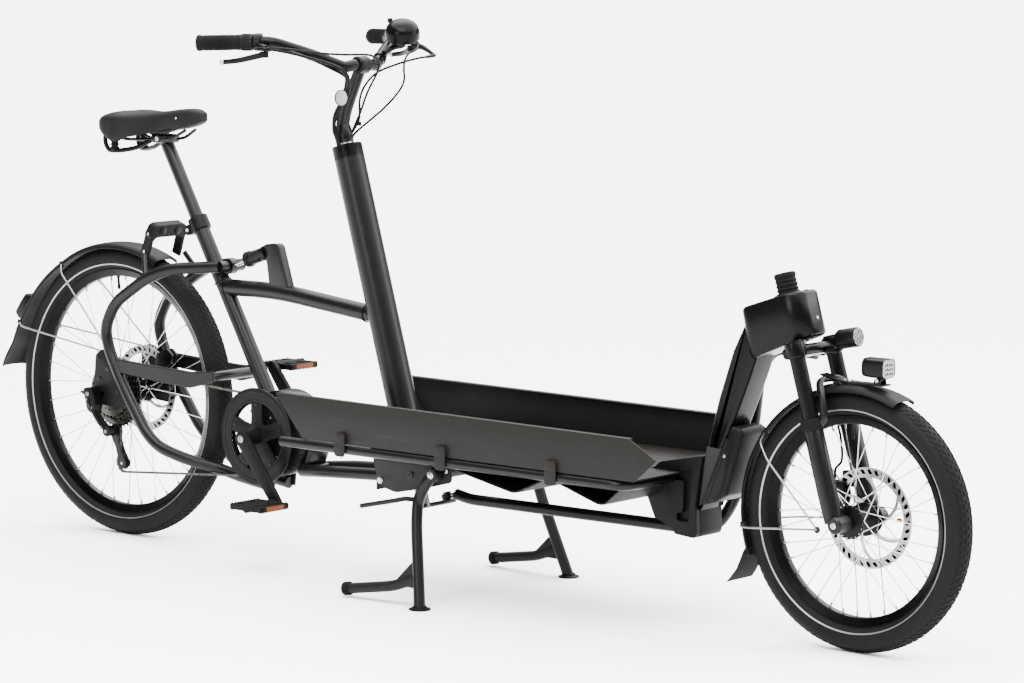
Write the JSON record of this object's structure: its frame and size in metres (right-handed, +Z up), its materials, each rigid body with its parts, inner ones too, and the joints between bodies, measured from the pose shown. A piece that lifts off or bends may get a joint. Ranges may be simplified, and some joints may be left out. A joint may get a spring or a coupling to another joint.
{
  "type": "electric cargo bike",
  "caption": "Long low cargo bike with a load bay between a linked-steering front wheel and a sprung rear end, mid motor, battery, lights and a two-legged stand.",
  "frame": {"origin": "middle of the footprint, on the ground", "axes": "+X forward, +Y to the rider's left, +Z up"},
  "size_m": [2.7544, 0.587, 1.221],
  "materials": {
    "frame_black": "satin",
    "warm_grey": "satin",
    "gloss_black": "gloss",
    "alloy_black": "satin",
    "plastic_black": "matte",
    "rubber_black": "matte",
    "tyre_black": "matte",
    "battery_grey": "satin",
    "steel": "brushed",
    "dark_steel": "satin",
    "matte_saddle": "matte"
  },
  "bodies": {
    "frame": {"rear_frame": "alloy_black", "cargo_frame": "alloy_black", "front_frame": "alloy_black", "head_cap": "rubber_black", "cargo_floor": "warm_grey", "side_wall_right": "warm_grey", "side_wall_left": "warm_grey", "drive_unit": "plastic_black", "battery": "battery_grey", "stand_bracket": "warm_grey", "seat_clamp": "plastic_black", "column_bearing": "steel", "shock_body": "dark_steel"},
    "column": {"steering_shaft": "steel", "stem": "alloy_black", "handlebar": "alloy_black", "grip_right": "rubber_black", "grip_left": "rubber_black", "brake_clamp_right": "plastic_black", "brake_clamp_left": "plastic_black", "bell": "gloss_black", "cable_right": "rubber_black", "cable_left": "rubber_black"},
    "bell_knob": {"bell_knob": "gloss_black"},
    "twist_shifter": {"twist_shifter": "plastic_black"},
    "brake_lever_right": {"brake_lever_right": "dark_steel"},
    "brake_lever_left": {"brake_lever_left": "dark_steel"},
    "rod": {"steering_rod": "alloy_black"},
    "fork": {"fork_crown": "alloy_black"},
    "headlight_upper": {"headlight_upper": "plastic_black"},
    "headlight_lower": {"headlight_lower": "plastic_black"},
    "fork_lower": {"fork_lowers": "alloy_black", "front_fender": "plastic_black", "front_caliper": "dark_steel", "front_hose": "rubber_black"},
    "front_wheel": {"front_tyre": "tyre_black", "front_rim": "dark_steel", "front_hub": "dark_steel", "front_rotor": "steel"},
    "swingarm": {"swingarm": "alloy_black", "rear_fender": "plastic_black", "tail_light": "gloss_black", "ring_lock": "plastic_black", "rear_caliper": "dark_steel", "derailleur": "plastic_black", "chain": "steel", "derailleur_cage": "plastic_black"},
    "shock_rod": {"shock_rod": "steel"},
    "rear_wheel": {"rear_tyre": "tyre_black", "rear_rim": "dark_steel", "rear_hub": "dark_steel", "rear_rotor": "steel"},
    "cassette": {"cassette": "steel"},
    "crank": {"crank_right": "dark_steel", "crank_left": "dark_steel"},
    "pedal_right": {"pedal_right": "plastic_black"},
    "pedal_left": {"pedal_left": "plastic_black"},
    "seat": {"seat_post": "alloy_black", "saddle": "matte_saddle"},
    "stand": {"stand": "alloy_black"}
  },
  "joints": [
    {"name": "steering", "type": "hinge", "parent": "frame", "child": "column", "pos_m": [-0.257, 0, 0.945], "axis": [-0.279, 0, 0.9603], "range_deg": [-35, 35]},
    {"name": "rod_pivot", "type": "hinge", "parent": "column", "child": "rod", "pos_m": [-0.03417, 0.08, 0.17801], "axis": [-0.279, 0, 0.9603], "range_deg": [-35, 35]},
    {"name": "fork_steer", "type": "hinge", "parent": "frame", "child": "fork", "pos_m": [0.9373, 0, 0.728], "axis": [-0.279, 0, 0.9603], "range_deg": [-35, 35]},
    {"name": "fork_travel", "type": "slide", "parent": "fork", "child": "fork_lower", "axis": [-0.279, 0, 0.9603], "range_m": [0, 0.03], "stiffness_N_per_m": 8000, "springref_m": -0.05},
    {"name": "front_wheel_spin", "type": "hinge", "parent": "fork_lower", "child": "front_wheel", "pos_m": [1.1193, 0, 0.2634], "axis": [0, 1, 0], "continuous": true},
    {"name": "headlight_upper_tilt", "type": "hinge", "parent": "fork", "child": "headlight_upper", "pos_m": [1.0363, 0.03, 0.592], "axis": [0, 1, 0], "range_deg": [-10, 10]},
    {"name": "headlight_lower_tilt", "type": "hinge", "parent": "fork_lower", "child": "headlight_lower", "pos_m": [1.1673, 0, 0.5465], "axis": [0, 1, 0], "range_deg": [-10, 10]},
    {"name": "swingarm_pivot", "type": "hinge", "parent": "frame", "child": "swingarm", "pos_m": [-0.4847, 0, 0.283], "axis": [0, 1, 0], "range_deg": [0, 4.5], "stiffness_Nm_per_rad": 1000, "springref_deg": -8.59},
    {"name": "shock_rod_pivot", "type": "hinge", "parent": "swingarm", "child": "shock_rod", "pos_m": [-0.6207, 0, 0.655], "axis": [0, 1, 0], "range_deg": [-4.5, 0]},
    {"name": "rear_wheel_spin", "type": "hinge", "parent": "swingarm", "child": "rear_wheel", "pos_m": [-0.9677, 0, 0.3395], "axis": [0, 1, 0], "continuous": true},
    {"name": "cassette_spin", "type": "hinge", "parent": "swingarm", "child": "cassette", "pos_m": [-0.9677, 0, 0.3395], "axis": [0, 1, 0], "continuous": true},
    {"name": "crank_spin", "type": "hinge", "parent": "frame", "child": "crank", "pos_m": [-0.4847, 0, 0.283], "axis": [0, 1, 0], "continuous": true},
    {"name": "pedal_right_spin", "type": "hinge", "parent": "crank", "child": "pedal_right", "pos_m": [-0.38033, -0.157, 0.14881], "axis": [0, 1, 0], "continuous": true},
    {"name": "pedal_left_spin", "type": "hinge", "parent": "crank", "child": "pedal_left", "pos_m": [-0.58907, 0.157, 0.41719], "axis": [0, 1, 0], "continuous": true},
    {"name": "stand_fold", "type": "hinge", "parent": "frame", "child": "stand", "pos_m": [0.1623, 0, 0.278], "axis": [0, 1, 0], "range_deg": [0, 60]},
    {"name": "seat_height", "type": "slide", "parent": "frame", "child": "seat", "axis": [-0.5, 0, 0.866], "range_m": [-0.03, 0.1]},
    {"name": "shift_twist", "type": "hinge", "parent": "column", "child": "twist_shifter", "pos_m": [-0.3359, -0.2237, 1.17468], "axis": [0.8765, 0.4809, 0.0233], "range_deg": [-30, 30]},
    {"name": "bell_ring", "type": "hinge", "parent": "column", "child": "bell_knob", "pos_m": [-0.2107, 0.135, 1.174], "axis": [0, 0, 1], "range_deg": [0, 25], "stiffness_Nm_per_rad": 0.05},
    {"name": "brake_right", "type": "hinge", "parent": "column", "child": "brake_lever_right", "pos_m": [-0.2777, -0.235, 1.15], "axis": [0, 0, -1], "range_deg": [0, 12], "stiffness_Nm_per_rad": 1},
    {"name": "brake_left", "type": "hinge", "parent": "column", "child": "brake_lever_left", "pos_m": [-0.2777, 0.235, 1.15], "axis": [0, 0, 1], "range_deg": [0, 12], "stiffness_Nm_per_rad": 1}
  ],
  "couplings": [
    {"joint": "rod_pivot", "follows": "steering", "ratio": -1},
    {"joint": "fork_steer", "follows": "steering", "ratio": 1},
    {"joint": "shock_rod_pivot", "follows": "swingarm_pivot", "ratio": -1},
    {"joint": "cassette_spin", "follows": "crank_spin", "ratio": 1.456}
  ]
}
